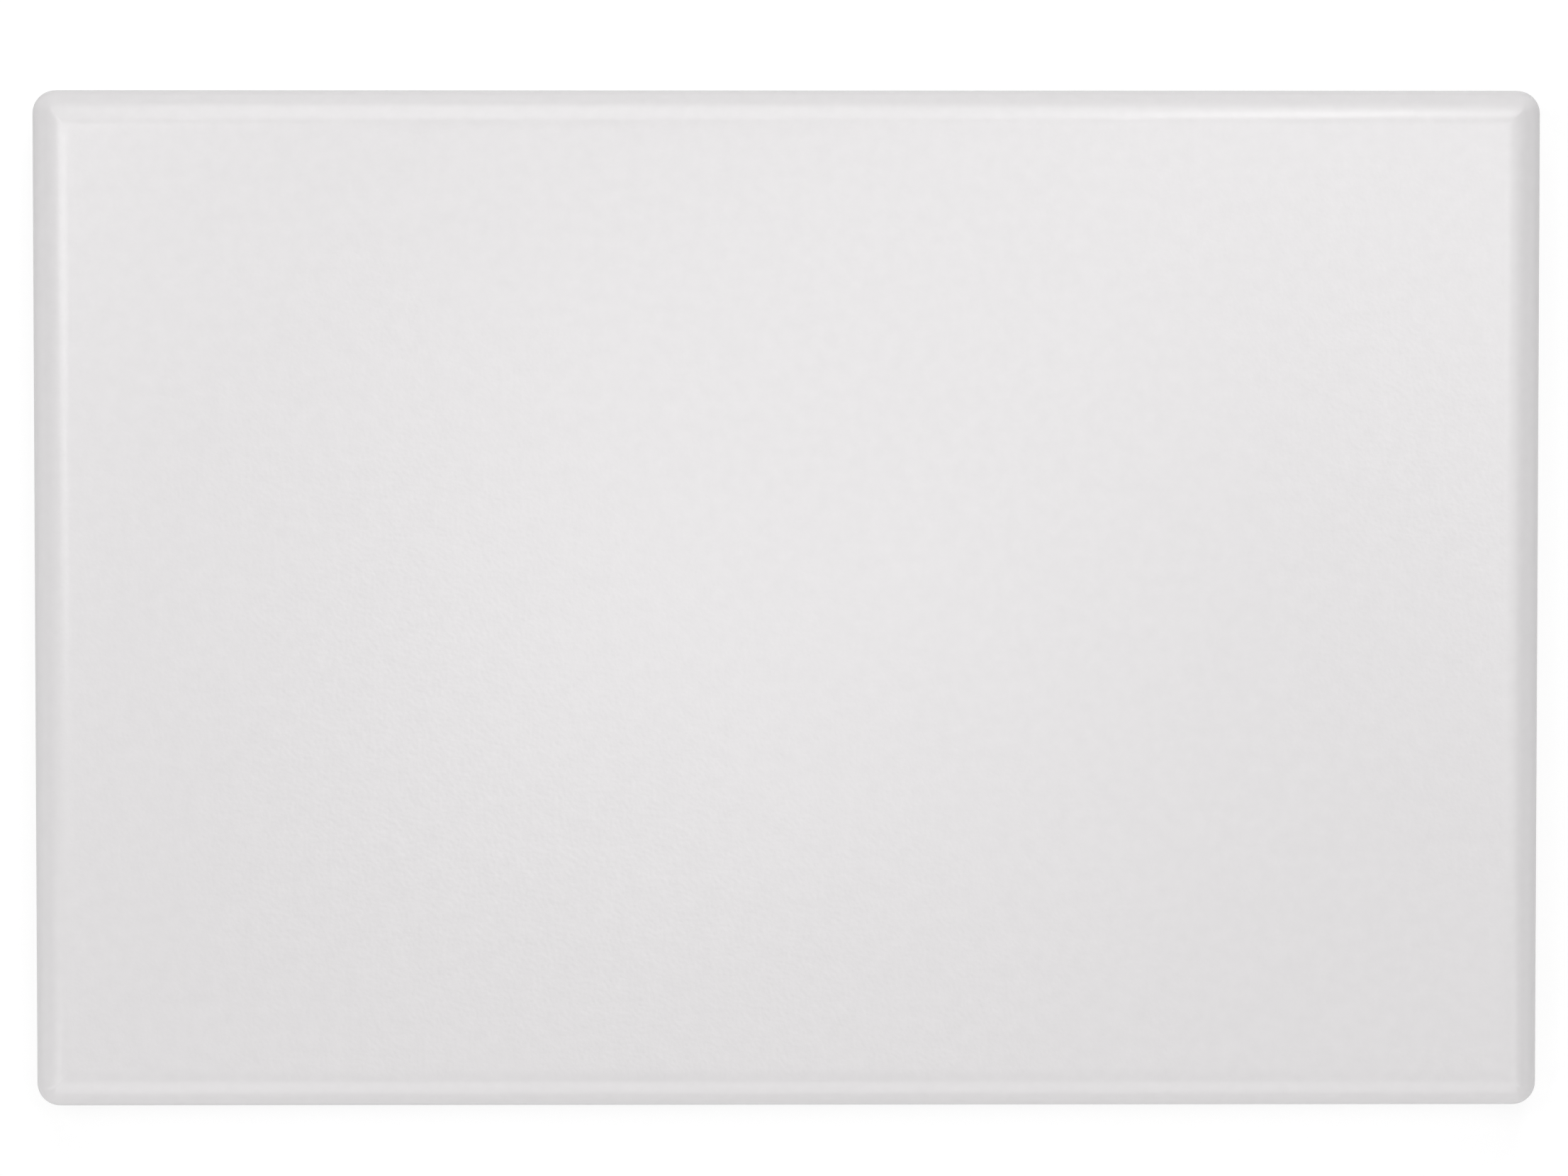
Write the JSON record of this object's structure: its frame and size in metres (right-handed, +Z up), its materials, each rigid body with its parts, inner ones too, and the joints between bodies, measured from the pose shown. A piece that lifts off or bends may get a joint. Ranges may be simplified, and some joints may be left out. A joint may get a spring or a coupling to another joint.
{
  "type": "cutting board",
  "caption": "Plain rectangular cutting board, one solid slab of white polyethylene, rim rounded over all the way round, both faces flat and finely textured.",
  "frame": {"origin": "centre of the underside, the face that the board rests on", "axes": "+X along the long side, +Y along the short side, +Z up out of the cutting face"},
  "size_m": [0.45, 0.304, 0.025],
  "materials": {
    "white_polyethylene": "satin, with a fine moulded grain on the two faces and a smoother rim"
  },
  "bodies": {
    "root": {"board": "white_polyethylene"}
  },
  "joints": []
}
